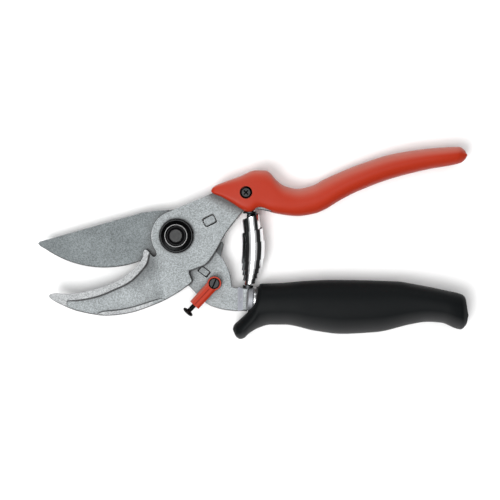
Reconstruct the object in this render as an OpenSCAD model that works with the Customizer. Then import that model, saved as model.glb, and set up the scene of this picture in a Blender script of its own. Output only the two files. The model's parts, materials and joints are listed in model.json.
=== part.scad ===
// Bypass pruning shears with a revolving lower grip, a coiled-strip return spring and a thumb catch.
// The pivot axis is Z. The shears lie on the plane z = 0, with the jaws towards -X and the grips towards +X.

/* [Blades] */
// Reach of the cutting blade from the pivot to its tip
blade_l = 69.5; // [58:0.5:84]
// Thickness of the cutting blade
blade_t = 2.9; // [2.2:0.1:4]
// Width of the bevel ground along the cutting edge
bevel_w = 4.2; // [2:0.1:6]
// Reach of the counter-blade from the pivot to its tip
jaw_l = 63.4; // [52:0.5:77]
// Thickness of the counter-blade and its tang
plate_t = 4; // [3:0.1:6]
// How deep the jaw's face is hollowed between its lip and its rim
hollow_d = 1.8; // [0.6:0.1:2.4]
// Radius of the counter-blade's boss round the pivot
boss_r = 12.6; // [11.5:0.1:14]

/* [Pivot] */
// Radius of the pivot bolt's plain shank
shank_r = 4.5; // [3.5:0.1:5.5]
// Radius of the bolt's threaded end
thread_r = 3.2; // [2.5:0.1:3.5]
// Radius of the bolt's flat head
bolt_head_r = 9; // [7:0.1:11]
// Thickness of the bolt's head
bolt_head_h = 3.4; // [2.5:0.1:4.5]
// Wall of the bush that turns on the bolt
bush_wall = 1.5; // [1:0.1:2]
// Radius of the nut's flange
nut_r = 8.45; // [7:0.05:10]
// Height of the nut's flange
nut_flange_h = 2.2; // [1.5:0.1:3]
// Radius of the nut's raised collar
nut_collar_r = 5.65; // [5:0.05:6.8]
// Height of the nut's raised collar
nut_collar_h = 2.8; // [2:0.1:4]
// Thickness of the washer under the nut
pivot_washer_t = 0.8; // [0.5:0.1:1.2]

/* [Lower handle] */
// Thickness of the handle plate behind the blade
handle_t = 3.9; // [3:0.1:5]
// Radius of the round neck that carries the spindle
neck_r = 6; // [5:0.1:6.5]
// Radius of the spindle that the grip turns on
spindle_r = 3.5; // [2.5:0.1:4]
// Length of the spindle's collar in front of the grip
collar_l = 3.2; // [2:0.1:4]

/* [Revolving grip] */
// Length of the revolving grip
roll_grip_l = 116.8; // [100:0.5:140]
// Thickness of the revolving grip
roll_grip_t = 21; // [18:0.5:25]
// Outer radius of the hard core inside the soft grip
core_r = 6.6; // [6.3:0.1:7]
// Wall of the hard core
core_wall = 1.4; // [1:0.1:1.8]
// Length of each bush inside the core
grip_bush_l = 12; // [8:0.5:16]

/* [Upper grip] */
// Length of the upper grip
upper_grip_l = 127.6; // [108:0.5:153]
// Thickness of the upper grip
upper_grip_t = 17.4; // [15:0.1:21]
// Radius of the grip screw's head
grip_screw_head_r = 2.6; // [2.2:0.1:3.2]

/* [Spring] */
// Radius of the return spring's middle turns
spring_r = 5.85; // [4.5:0.05:7]
// Thickness of the spring's strip
strip_t = 0.9; // [0.5:0.1:1.2]

/* [Catch] */
// Distance from the catch's screw to the end of its sleeve
catch_l = 14.6; // [12:0.1:17]
// Width and height of the catch's sleeve
catch_w = 5.6; // [5.4:0.1:6.5]
// Radius of the catch screw's head
catch_screw_head_r = 2.45; // [2.2:0.05:2.6]
// Radius of the plunger's stem
stem_r = 1.15; // [0.8:0.05:1.3]
// Radius of the plunger's head
plunger_head_r = 2.85; // [2:0.05:3.5]
// Travel of the plunger
plunger_travel = 1.5; // [1:0.1:2.5]

/* [Hidden] */

// Clearances
slide_gap = 0.1;    // between plates that slide on each other
running_gap = 0.05; // round a shaft that turns in its bush
free_gap = 0.3;     // between pieces that pass without touching
tiny = 0.01;        // a cut's overshoot past a face
ring_fn = 64;       // facets of round pieces that are drawn coarse

// Heights of the stack along the pivot, from the rest plane up
handle_z = bolt_head_h + slide_gap;
blade_z = handle_z + handle_t;
handle_top = blade_z + blade_t - slide_gap;
plate_z = blade_z + blade_t + slide_gap;
plate_top = plate_z + plate_t;
nut_z = plate_top + pivot_washer_t;
bush_r = shank_r + running_gap + bush_wall;

// Places in the plan view
screw_at = [34.5, 21.5];          // screw of the upper grip
stud_at = [16.5, 7.5];            // stop stud
stud_size = [6.6, 4.6];
stud_turn = 26;
pad_at = [13.6, -17.8];           // guide pad
pad_size = [6.1, 3.7];
pad_turn = -37;
catch_at = [18.75, -23.6];        // catch screw
catch_turn = 227.4;
spring_top = [36.4, 11.2];
spring_bottom = [35.5, -24.7];
spindle_at = [35.2, -31.674];     // front end of the spindle's collar
spindle_tilt = -2.5;
axis_z = roll_grip_t / 2;         // height of the spindle and of the return spring
jaw_root = 16.8;                  // where the counter-blade's jaw starts
blade_root_r = 13.4;
shoulder_r = 17.2;                // reach of the lower handle's opening shoulder

// ---- Curves ----

// A smooth curve through the points, with a few steps between each two
function smooth(p, steps = 4) = concat([for (i = [0:len(p) - 2], k = [0:steps - 1])
    let (a = p[max(i - 1, 0)], b = p[i], c = p[i + 1], d = p[min(i + 2, len(p) - 1)], t = k / steps)
    b + t * (c - a) / 2 + t * t * (a - 2.5 * b + 2 * c - 0.5 * d)
    + t * t * t * (1.5 * b - 0.5 * a - 1.5 * c + 0.5 * d)], [p[len(p) - 1]]);

// Points on an arc, counted from angle a to angle b
function arc(centre, r, a, b, steps = 12) =
    [for (k = [0:steps]) centre + r * [cos(a + (b - a) * k / steps), sin(a + (b - a) * k / steps)]];

// Centre of the circle of radius r through a and b, on the left of the way from a to b
function arc_centre(a, b, r) =
    let (d = b - a, h = sqrt(r * r - d * d / 4)) (a + b) / 2 + h * [-d[1], d[0]] / norm(d);

function heading(v) = atan2(v[1], v[0]);

// Slope of a point list at point i, kept flat at peaks so that the curve never overshoots
function step_slope(p, i) = (p[i + 1][1] - p[i][1]) / (p[i + 1][0] - p[i][0]);
function slope(p, i) = i == 0 ? step_slope(p, 0)
    : i == len(p) - 1 ? step_slope(p, i - 1)
    : let (a = step_slope(p, i - 1), b = step_slope(p, i)) a * b <= 0 ? 0 : 2 * a * b / (a + b);

// Height of a smooth profile at x; the profile is a list of [x, height]
function span_of(p, x, i = 0) = i >= len(p) - 2 || x < p[i + 1][0] ? i : span_of(p, x, i + 1);
function profile(p, x) =
    let (i = span_of(p, x), w = p[i + 1][0] - p[i][0], t = (x - p[i][0]) / w)
    p[i][1] * (1 + 2 * t) * pow(1 - t, 2) + p[i + 1][1] * t * t * (3 - 2 * t)
    + w * (slope(p, i) * t * pow(1 - t, 2) - slope(p, i + 1) * t * t * (1 - t));

// A profile whose part past `keep` is stretched to end at `length`
function stretched(p, keep, length) =
    let (k = (length - keep) / (p[len(p) - 1][0] - keep))
    [for (q = p) [q[0] < keep ? q[0] : keep + (q[0] - keep) * k, q[1]]];

// Stations along a grip, closest at its two ends
function stations(length, steps) = [for (i = [0:steps]) length * (1 - cos(180 * i / steps)) / 2];

function signed_power(v, n) = sign(v) * pow(abs(v), n);

// One cross-section of a grip: a rounded box from y = low to high, z = mid - half to mid + half
function section(x, low, high, mid, half, box, count) = [for (k = [0:count - 1])
    let (a = 360 * k / count)
    [x, (low + high) / 2 + (high - low) / 2 * signed_power(cos(a), 2 / box),
        mid + half * signed_power(sin(a), 2 / box)]];

// A solid skinned over rings of equal point count
module loft(rings) {
    n = len(rings[0]);
    last = len(rings) - 1;
    sides = [for (i = [0:last - 1], k = [0:n - 1]) each [
        [i * n + k, (i + 1) * n + (k + 1) % n, i * n + (k + 1) % n],
        [i * n + k, (i + 1) * n + k, (i + 1) * n + (k + 1) % n]]];
    front = [for (k = [0:n - 1]) k];
    back = [for (k = [n - 1:-1:0]) last * n + k];
    polyhedron([for (ring = rings) each ring], concat([front, back], sides), convexity = 8);
}

// A tube or rod along +Z with chamfered ends
module rod(r, h, chamfer = 0, bore = 0) {
    rotate_extrude($fn = ring_fn)
        polygon([[bore, 0], [r - chamfer, 0], [r, chamfer], [r, h - chamfer], [r - chamfer, h], [bore, h]]);
}

// A rounded rectangle centred on the origin
module rounded_plate(size, r) {
    square([size[0] - 2 * r, size[1]], center = true);
    square([size[0], size[1] - 2 * r], center = true);
    for (x = [-1, 1], y = [-1, 1])
        translate([x * (size[0] / 2 - r), y * (size[1] / 2 - r)]) circle(r, $fn = 32);
}

// Frames of the parts that don't lie along Z; each one's own +Z points along the part
module along_spindle(s = 0) {
    translate([spindle_at[0], spindle_at[1], axis_z])
        rotate([0, 0, spindle_tilt]) rotate([0, 90, 0]) translate([0, 0, s]) children();
}

module along_spring() {
    way = spring_bottom - spring_top;
    translate([spring_top[0], spring_top[1], axis_z])
        rotate([0, 0, heading(way)]) rotate([0, 90, 0]) children();
}

module along_catch(s = 0) {
    translate([catch_at[0], catch_at[1], catch_z])
        rotate([0, 0, catch_turn]) rotate([0, 90, 0]) translate([0, 0, s]) children();
}

// ---- Counter-blade and what is fixed to it ----

// A point of the jaw: how far out along it, from 0 at its root to 1 at its tip, and its height
function jaw(out, y) = [-jaw_root - out * (jaw_l - jaw_root), y];

boss_start = 213.8;  // the boss's arc runs from the notch beside the hook to the straight back
boss_end = 111.6;
jaw_edge = [jaw(0.943, -28.6), jaw(0.876, -28.8), jaw(0.773, -29), jaw(0.67, -28.3), jaw(0.532, -26.9),
    jaw(0.397, -25), jaw(0.234, -21.6), jaw(0.159, -19), jaw(0.084, -16.1), jaw(0.028, -13), jaw(0, -10.7)];
jaw_back = [[1.5, -27.75], [-5.7, -31.9], [-14.5, -35.6], jaw(0.109, -38), jaw(0.268, -39.3),
    jaw(0.427, -39.6), jaw(0.584, -38.6), jaw(0.742, -36.7), jaw(0.901, -33.4), jaw(0.979, -31.2),
    jaw(1, -29.9), jaw(0.983, -28.9), jaw(0.943, -28.6)];
hook = [[-16.5, -7.9], [-15.7, -6.9], [-14.3, -7.5], [-13, -9.1], [-11.7, -10.4], [-10.6, -10.2], [-9.8, -9.1]];
tang = [[17, 20.8], [26, 24.6], [36, 27], [46, 24], [54, 19.8], [64, 18.6], [74, 22.4], [88, 29.2], [97, 32.2],
    [99, 31], [98, 29.6], [88, 25.4], [74, 18.4], [64, 14.6], [54, 15], [46.6, 16.4]];
spring_lug = [[47.2, 12], [41.5, 13.2], [39.2, 13.4], [39.2, 16.5], [33.4, 16.5], [33, 12.2]];
catch_side = [[31.6, 10.5], [24.6, 1.6], [20.1, -6.5], [16.4, -12.2], [14.75, -14], [13.3, -14.9], [9.8, -16.2],
    [6.9, -17.2], [6.25, -17.6], [6.15, -18.2], [6.7, -20], [7.7, -22.5], [7.5, -23], [5.95, -24.5]];

module counter_blade_outline() {
    polygon(concat(smooth(jaw_edge), smooth(hook, 3), arc([0, 0], boss_r, boss_start, boss_end),
        smooth(tang, 3), spring_lug, smooth(catch_side, 3), smooth(jaw_back)));
}

// The jaw's hollow: it leaves a raised lip along the cutting edge and a raised rim along the back
module hollow_outline() {
    lip = [[-13.2, -8.3], [-13.8, -9.75], [-14.25, -12], [-15.6, -15.2], jaw(0.084, -20.9), jaw(0.178, -24.1),
        jaw(0.296, -26.6), jaw(0.466, -29.9), jaw(0.663, -31.9), jaw(0.807, -32.2)];
    rim = [jaw(0.5, -39.7), jaw(0.444, -38), jaw(0.34, -37.4), jaw(0.236, -36.9), jaw(0.109, -35.6),
        [-14.5, -33.4], [-8.3, -31.4], [-6.1, -31.7]];
    polygon(concat(smooth(lip, 3), [jaw(0.807, -45), jaw(0.5, -45)], smooth(rim, 3),
        [[-4, -33], [1, -25], [-4, -8]]));
}

hollow_from = [-10, -9.5];   // the hollow starts on a line through this point
hollow_turn = 192.8;         // direction in which it gets deeper

// The hollow's depth: it slopes down from the boss, stays level, and runs out towards the tip
module hollow_depth() {
    level = 7;
    level_end = 0.44 * jaw_l;
    run_out = 0.79 * jaw_l;
    floor_z = plate_top - hollow_d;
    translate([hollow_from[0], hollow_from[1], 0]) rotate([0, 0, hollow_turn]) rotate([90, 0, 0])
        translate([0, 0, -jaw_l]) linear_extrude(2 * jaw_l)
            polygon([[0, plate_top + 1], [0, plate_top], [level, floor_z], [level_end, floor_z],
                [run_out, plate_top], [run_out, plate_top + 1]]);
}

module counter_blade_solid() {
    difference() {
        translate([0, 0, plate_z]) linear_extrude(plate_t) counter_blade_outline();
        intersection() {
            translate([0, 0, plate_z]) linear_extrude(2 * plate_t) hollow_outline();
            hollow_depth();
        }
    }
}

module counter_blade() {
    color([0.74, 0.77, 0.78]) difference() {
        counter_blade_solid();
        translate([0, 0, plate_z - 1]) cylinder(r = shank_r, h = plate_t + 2, $fn = ring_fn);
        translate([screw_at[0], screw_at[1], plate_z - 1]) cylinder(r = screw_r, h = plate_t + 2, $fn = 32);
        translate([0, 0, -tiny]) stud_shape();
    }
}

stud_z = handle_z + 0.4;

module stud_shape() {
    translate([stud_at[0], stud_at[1], stud_z]) rotate([0, 0, stud_turn])
        linear_extrude(plate_top - stud_z + 2 * tiny) rounded_plate(stud_size, 1.1);
}

module stop_stud() {
    color([0.7, 0.73, 0.75]) stud_shape();
}

screw_r = 1.6;
screw_head_h = 1.6;
screw_end_z = 2.5;

module cross_slot(r, depth) {
    for (turn = [45, 135]) rotate([0, 0, turn]) cube([2 * r, 0.7, 2 * depth], center = true);
}

module upper_grip_screw() {
    color([0.08, 0.08, 0.09]) translate([screw_at[0], screw_at[1], 0]) {
        translate([0, 0, screw_end_z]) rod(screw_r, plate_top - screw_end_z + tiny);
        difference() {
            translate([0, 0, plate_top]) rod(grip_screw_head_r, screw_head_h, 0.25);
            translate([0, 0, plate_top + screw_head_h]) cross_slot(1.5, 0.9);
        }
    }
}

// Edges and thickness of the upper grip: x counts from its front end
upper_grip_x = 17.25;
upper_keep = 36;  // the head up to here keeps its shape when the grip's length changes
upper_high = [[0, 22.6], [0.85, 24.2], [6.65, 26.9], [13.65, 29.5], [22.4, 32.8], [26.8, 32.8], [29.5, 31.3],
    [32.1, 28.2], [36.5, 25.1], [43, 23.7], [50.6, 25.3], [56, 28.2], [73.5, 35.7], [91.2, 41.2],
    [108.8, 43.8], [123.8, 44.7], [126.4, 43.2], [127.6, 40.8]];
upper_low = [[0, 22], [0.85, 21.1], [4.85, 19.4], [10.15, 16.3], [15.45, 12.9], [18, 11.9], [19.8, 11.9],
    [21.5, 13.2], [24.2, 14.1], [26.8, 13.4], [29.5, 12.1], [34, 11], [43, 10], [51.5, 11.2], [56, 12.9],
    [64.7, 18.1], [73.5, 22.5], [91.2, 29.1], [108.8, 33.5], [124.7, 36.6], [126.9, 38.3], [127.6, 40]];
upper_half = [[0, 0.86], [2, 0.94], [20, 1], [30, 0.96], [45, 0.88], [80, 0.93], [110, 0.9], [122, 0.78],
    [127.6, 0.42]];
upper_box = [[0, 6], [24, 5], [36, 3], [50, 2.5], [127.6, 2.3]];

module upper_grip_skin() {
    high = stretched(upper_high, upper_keep, upper_grip_l);
    low = stretched(upper_low, upper_keep, upper_grip_l);
    half = stretched(upper_half, upper_keep, upper_grip_l);
    box = stretched(upper_box, upper_keep, upper_grip_l);
    loft([for (x = stations(upper_grip_l, 40))
        section(upper_grip_x + x, profile(low, x), profile(high, x), upper_grip_t / 2,
            upper_grip_t / 2 * profile(half, x), profile(box, x), 24)]);
}

module upper_grip() {
    color([0.82, 0.2, 0.12]) difference() {
        upper_grip_skin();
        translate([0, 0, plate_z]) linear_extrude(plate_t) counter_blade_outline();
        translate([screw_at[0], screw_at[1], screw_end_z]) cylinder(r = screw_r, h = upper_grip_t, $fn = 32);
        translate([screw_at[0], screw_at[1], plate_top])
            cylinder(r = grip_screw_head_r + 0.4, h = upper_grip_t, $fn = 32);
        along_spring() translate([0, 0, -seat_disc_t - seat_stem_l])
            cylinder(r = seat_stem_r, h = seat_stem_l + 5, $fn = 32);
        along_spring() translate([0, 0, -seat_disc_t]) cylinder(r = seat_disc_r, h = 5, $fn = ring_fn);
    }
}

// ---- Return spring and its seats ----

seat_disc_r = 3.4;
seat_disc_t = 1;
seat_stem_r = 1.8;
seat_stem_l = 3.6;
seat_pin_r = 1.5;
seat_pin_l = 4;
spring_l = norm(spring_bottom - spring_top);
turns = 12;  // turns of strip from the top to the bottom

module spring_seat_upper() {
    color([0.3, 0.31, 0.32]) along_spring() {
        translate([0, 0, -seat_disc_t]) rod(seat_disc_r, seat_disc_t, 0.2);
        translate([0, 0, -seat_disc_t - seat_stem_l]) rod(seat_stem_r, seat_stem_l + tiny);
        rod(seat_pin_r, seat_pin_l, 0.3);
    }
}

seat_foot_r = 2.6;
seat_foot_l = 3;

module spring_seat_lower() {
    color([0.3, 0.31, 0.32]) difference() {
        along_spring() {
            translate([0, 0, spring_l - seat_pin_l]) rod(seat_pin_r, seat_pin_l + tiny, 0.3);
            translate([0, 0, spring_l]) rod(seat_foot_r, seat_foot_l);
        }
        along_spindle(-20) cylinder(r = neck_r, h = 40, $fn = ring_fn);
    }
}

// Outer radius of the coiled strip, from 0 at the top end to 1 at the bottom end
function coil_r(along) = spring_r * (0.5 + 0.5 * pow(sin(180 * (0.06 + 0.88 * along)), 0.8));

// The spring as a stepped barrel: one step for each turn, hollow all along
module main_spring() {
    inner = [for (k = [turns - 1:-1:0]) let (r = coil_r((k + 0.5) / turns) - 1.4 * strip_t)
        each [[r, (k + 1) * spring_l / turns], [r, k * spring_l / turns]]];
    outer = [for (k = [0:turns - 1]) let (r = coil_r((k + 0.5) / turns))
        each [[r, k * spring_l / turns], [r, (k + 1) * spring_l / turns]]];
    color([0.8, 0.81, 0.83]) along_spring() rotate_extrude($fn = ring_fn) polygon(concat(outer, inner));
}

// ---- Pivot ----

bolt_top = nut_z + nut_flange_h + nut_collar_h + 0.5;
nut_cup_h = 1.5;   // depth of the cup in the nut's collar

module pivot_bolt() {
    color([0.45, 0.46, 0.47]) rotate_extrude($fn = ring_fn) polygon([[0, 0], [bolt_head_r - 0.6, 0],
        [bolt_head_r, 0.6], [bolt_head_r, bolt_head_h - 0.3], [bolt_head_r - 0.3, bolt_head_h],
        [shank_r, bolt_head_h], [shank_r, nut_z], [thread_r, nut_z], [thread_r, bolt_top - 0.4],
        [thread_r - 0.25, bolt_top], [0, bolt_top]]);
}

module pivot_washer() {
    color([0.6, 0.61, 0.62]) translate([0, 0, plate_top]) rod(nut_r - 0.3, pivot_washer_t, 0, shank_r);
}

module pivot_nut() {
    collar_z = nut_flange_h;
    top = nut_flange_h + nut_collar_h;
    groove_r = (nut_r + nut_collar_r) / 2 + 0.3;   // a shallow groove round the flange
    wall = 0.5;                                    // thickness of the collar's rim round its cup
    color([0.07, 0.07, 0.08]) translate([0, 0, nut_z]) rotate_extrude($fn = ring_fn)
        polygon([[thread_r, 0], [nut_r, 0], [nut_r, collar_z - 0.5], [nut_r - 0.5, collar_z],
            [groove_r + 0.25, collar_z], [groove_r, collar_z - 0.3], [groove_r - 0.25, collar_z],
            [nut_collar_r, collar_z + 0.3], [nut_collar_r, top - 0.15], [nut_collar_r - 0.15, top],
            [nut_collar_r - wall, top], [nut_collar_r - wall - 0.3, top - nut_cup_h],
            [thread_r, top - nut_cup_h]]);
}

module pivot_bush() {
    color([0.72, 0.6, 0.35]) translate([0, 0, handle_z])
        rod(bush_r, blade_z + blade_t - handle_z, 0, shank_r + running_gap);
}

// ---- Cutting blade and lower handle ----

heel = [-18.8, -12.8];
edge_end = [-blade_l + 3.9, -6.6];
edge_r = 51.7;   // radius of the cutting edge
edge_t = 0.3;    // thickness left at the cutting edge
edge_centre = arc_centre(edge_end, heel, edge_r);
tail = [[12, -2.2], [22.9, -3], [23.35, -4.25], [21.9, -10.35], [18.6, -7.05], [9, -9.8]];

module cutting_blade_slab() {
    tip = [[-blade_l + 1.2, -5.1], [-blade_l, -3.75], [-blade_l + 0.8, -2.8], [-blade_l + 2, -2.5]];
    back = [[-17.8, 11.6], [-14.6, 12.1], [-11.4, 12.6], [-6.6, 12.9], [-4, 13.1]];
    edge = arc(edge_centre, edge_r, heading(heel - edge_centre), heading(edge_end - edge_centre), 24);
    translate([0, 0, blade_z]) {
        linear_extrude(blade_t) polygon(concat(edge, tip, back, [[0, 0], [-8, -12]]));
        cylinder(r = blade_root_r, h = blade_t, $fn = ring_fn);
        linear_extrude(blade_t) polygon(tail);
    }
}

module cutting_blade() {
    slope_h = blade_t - edge_t;
    color([0.45, 0.47, 0.49]) difference() {
        cutting_blade_slab();
        intersection() {
            translate([edge_centre[0], edge_centre[1], blade_z]) rotate_extrude($fn = 128)
                polygon([[edge_r - bevel_w, 0], [edge_r - bevel_w, -1], [edge_r + bevel_w, -1],
                    [edge_r + bevel_w, 2 * slope_h]]);
            translate([-2 * blade_l + heel[0], -blade_l, blade_z - 2]) cube([2 * blade_l, 2 * blade_l, 10]);
        }
        translate([0, 0, blade_z - 1]) cylinder(r = bush_r, h = blade_t + 2, $fn = ring_fn);
        for (at = blade_screw_at)
            translate([at[0], at[1], blade_z - 1]) cylinder(r = blade_screw_r, h = blade_t + 2, $fn = 32);
    }
}

blade_screw_at = [[-8.4, 4.2], [15.8, -5.4]];
blade_screw_r = 1.4;
blade_screw_head_r = 2.4;
blade_screw_head_h = 1.2;

// A countersunk screw that holds the blade from behind
module blade_screw(at) {
    top = blade_z + blade_t - 0.1;
    color([0.35, 0.36, 0.37]) translate([at[0], at[1], handle_z + 0.2]) rotate_extrude($fn = 32)
        polygon([[0, 0], [blade_screw_head_r, 0], [blade_screw_r, blade_screw_head_h],
            [blade_screw_r, top - handle_z - 0.2], [0, top - handle_z - 0.2]]);
}

module blade_screw_front() blade_screw(blade_screw_at[0]);
module blade_screw_rear() blade_screw(blade_screw_at[1]);

handle_side = [[21.9, -10.35], [24, -13.5], [25.75, -17], [26.75, -20], [27.25, -23.65], [27.6, -25.65],
    [29, -26.2], [32, -26.4]];
handle_base = [[14.25, -33.4], [17.3, -35.1], [22.4, -36.65], [27.5, -37.4], [32, -37.6]];

module lower_handle_body_outline() {
    hidden = [[14, -2.5], [9, 7], [-8, -9.5], [-4, -16], [1, -21]];
    base = smooth(handle_base, 3);
    polygon(concat(hidden, [[6, -25.1], [9.65, -28.75]], base,
        [for (k = [len(handle_side) - 1:-1:0]) handle_side[k]]));
}

// The shoulder that meets the stop stud when the spring has opened the shears
module shoulder_outline() {
    intersection() {
        circle(shoulder_r, $fn = ring_fn);
        polygon([[0, 0], 24 * [cos(22), sin(22)], 24 * [cos(58), sin(58)]]);
        translate(stud_at) rotate(stud_turn) translate([-30, stud_size[1] / 2 + slide_gap]) square([60, 20]);
    }
}

neck_flat = 1.8;   // length of the neck's flat top in front of the collar
neck_ramp = 3.4;   // length of the slope from the plate up to that flat
neck_top = axis_z + 0.48 * neck_r;
shank_l = 3.4;     // how deep the spindle is pressed into the neck
shank_in_neck_r = 2.2;

// The round neck at the plate's end, flattened on top and running down softly to the plate's face
module neck() {
    flat_x = spindle_at[0] - neck_flat;
    rise = neck_top - handle_top;
    ramp = [for (t = [0:0.125:1]) [flat_x - neck_ramp * (1 - t), handle_top + rise * t * t * (3 - 2 * t)]];
    intersection() {
        along_spindle(-neck_flat - neck_ramp)
            cylinder(r = neck_r - 0.1, h = neck_flat + neck_ramp, $fn = ring_fn);
        translate([0, spindle_at[1] + 2 * neck_r, 0]) rotate([90, 0, 0]) linear_extrude(4 * neck_r)
            polygon(concat([[flat_x - 2 * neck_ramp, handle_z], [flat_x - 2 * neck_ramp, handle_top]], ramp,
                [[flat_x + 2 * neck_flat, neck_top], [flat_x + 2 * neck_flat, handle_z]]));
    }
}

module lower_handle() {
    color([0.72, 0.75, 0.76]) difference() {
        union() {
            translate([0, 0, handle_z]) linear_extrude(handle_t) {
                circle(blade_root_r - 1, $fn = ring_fn);
                lower_handle_body_outline();
                shoulder_outline();
            }
            difference() {
                translate([0, 0, handle_z]) linear_extrude(handle_top - handle_z) lower_handle_body_outline();
                cutting_blade_slab();
            }
            neck();
        }
        translate([0, 0, handle_z - 1]) cylinder(r = bush_r, h = handle_t + 2, $fn = ring_fn);
        for (at = blade_screw_at) translate([at[0], at[1], handle_z]) {
            cylinder(r = blade_screw_r, h = handle_t + 1, $fn = 32);
            translate([0, 0, 0.2]) cylinder(r1 = blade_screw_head_r, r2 = blade_screw_r,
                h = blade_screw_head_h, $fn = 32);
            translate([0, 0, -1]) cylinder(r = blade_screw_head_r, h = 1.2, $fn = 32);
        }
        translate([catch_at[0], catch_at[1], catch_screw_end_z])
            cylinder(r = catch_screw_r, h = handle_t + blade_t + 5, $fn = 32);
        pad_shape(1);
        along_spindle(-shank_l) cylinder(r = shank_in_neck_r, h = shank_l + 1, $fn = 32);
    }
}

pad_t = 2.2;

module pad_shape(above = 0) {
    translate([pad_at[0], pad_at[1], handle_top - pad_t]) rotate([0, 0, pad_turn])
        linear_extrude(pad_t + above) rounded_plate(pad_size, 0.7);
}

module guide_pad() {
    color([0.76, 0.78, 0.79]) pad_shape();
}

// ---- Spindle and revolving grip; lengths count from the front of the spindle's collar ----

guard_ahead = 7.2;                        // how far the finger guard reaches ahead of the collar
grip_x = spindle_at[0] - guard_ahead;     // front of the revolving grip
grip_y = spindle_at[1];
grip_tail = 22.6;                         // solid tail of the grip behind its core
bush_start = collar_l + slide_gap + 1;    // front of the core, behind the thrust washer
core_end = roll_grip_l - guard_ahead - grip_tail;
core_bore = core_r - core_wall;
spindle_end = core_end - 5.6;
spindle_screw_r = 1.5;

module spindle() {
    color([0.66, 0.69, 0.7]) along_spindle() difference() {
        union() {
            translate([0, 0, -shank_l]) cylinder(r = shank_in_neck_r, h = shank_l + tiny, $fn = 32);
            rod(neck_r - 0.05, collar_l, 0.6);
            cylinder(r = spindle_r, h = spindle_end, $fn = ring_fn);
        }
        translate([0, 0, spindle_end - 8]) cylinder(r = spindle_screw_r, h = 9, $fn = 32);
    }
}

module thrust_washer() {
    color([0.7, 0.71, 0.72]) along_spindle(collar_l) rod(min(core_r - 1.2, neck_r - 0.4), 1, 0, spindle_r);
}

module spindle_washer() {
    color([0.7, 0.71, 0.72]) along_spindle(spindle_end) rod(core_bore - 0.4, 1.2, 0, spindle_screw_r);
}

module spindle_screw() {
    color([0.5, 0.51, 0.52]) along_spindle(spindle_end) {
        translate([0, 0, -8]) cylinder(r = spindle_screw_r, h = 9.2 + tiny, $fn = 32);
        translate([0, 0, 1.2]) rod(3, 2.2, 0.4);
    }
}

// Edges and thickness of the revolving grip: x counts from its guard, y from the spindle
roll_keep = 18;  // the guard up to here keeps its shape when the grip's length changes
roll_high = [[0, -14.6], [0.3, -13.2], [3.2, -10.35], [8.5, -4.85], [11.3, 0.85], [12.5, 5.85], [13.9, 7.85],
    [23.2, 8.15], [36.4, 9.25], [49.6, 9.75], [80.5, 9.05], [93.7, 7.05], [106.9, 4.35], [114, 2.65],
    [115.7, 1.25], [116.4, -3.15], [116.8, -6.5]];
roll_low = [[0, -15.2], [0.6, -16.9], [2, -19.05], [3.7, -19.85], [5.6, -19.25], [8, -17.05], [12.8, -14.25],
    [18.8, -12.65], [25.8, -12.65], [40.8, -15.65], [54, -17.25], [71.7, -16.35], [89.3, -12.35],
    [97.2, -11.25], [104, -11.7], [111.3, -14.55], [113.5, -15.05], [116.2, -12.85], [116.8, -9]];
roll_half = [[0, 0.34], [2, 0.66], [6, 0.84], [14, 0.94], [45, 1], [80, 0.96], [106, 0.98], [113, 0.88],
    [116.8, 0.5]];

module roll_grip_skin() {
    high = stretched(roll_high, roll_keep, roll_grip_l);
    low = stretched(roll_low, roll_keep, roll_grip_l);
    half = stretched(roll_half, roll_keep, roll_grip_l);
    loft([for (x = stations(roll_grip_l, 40))
        section(grip_x + x, grip_y + profile(low, x), grip_y + profile(high, x), axis_z,
            axis_z * profile(half, x), 2.25, 24)]);
}

module roll_grip() {
    color([0.06, 0.07, 0.07]) difference() {
        roll_grip_skin();
        along_spindle(-20) cylinder(r = core_r, h = 20 + core_end, $fn = ring_fn);
        along_spindle(core_end - 1) cylinder(r = plug_r, h = grip_tail + 10, $fn = 32);
    }
}

module grip_core() {
    color([0.2, 0.2, 0.21]) along_spindle(bush_start) difference() {
        cylinder(r = core_r, h = core_end - bush_start, $fn = ring_fn);
        translate([0, 0, -1]) cylinder(r = core_bore, h = core_end, $fn = ring_fn);
    }
}

module grip_bush() {
    color([0.85, 0.84, 0.8]) rod(core_bore, grip_bush_l, 0, spindle_r + running_gap);
}

module grip_bush_front() along_spindle(bush_start) grip_bush();
module grip_bush_rear() along_spindle(spindle_end - free_gap - grip_bush_l) grip_bush();

plug_r = 3.2;
plug_l = 10;

module grip_end_plug() {
    color([0.1, 0.1, 0.11]) along_spindle(core_end + grip_tail - 1 - plug_l) rod(plug_r, plug_l, 0.3);
}

// ---- Catch; lengths count from its screw along the sleeve ----

catch_washer_t = 0.4;
catch_low = handle_top + catch_washer_t + slide_gap;
catch_z = catch_low + 0.2 + catch_w / 2;   // height of the sleeve's axis
eye_r = 3.4;
eye_floor = 3.2;                           // thickness of the eye under the screw's head
catch_screw_r = 1.6;
catch_recess_gap = 0.35;                    // round the screw's head in its recess
catch_screw_end_z = handle_z + 1;
catch_bore_r = 1.95;
catch_bush_l = 1.5;
bore_start = 4.3;                          // where the sleeve's bore begins
collar_w = 1.4;                            // width of the plunger's collar

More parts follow.
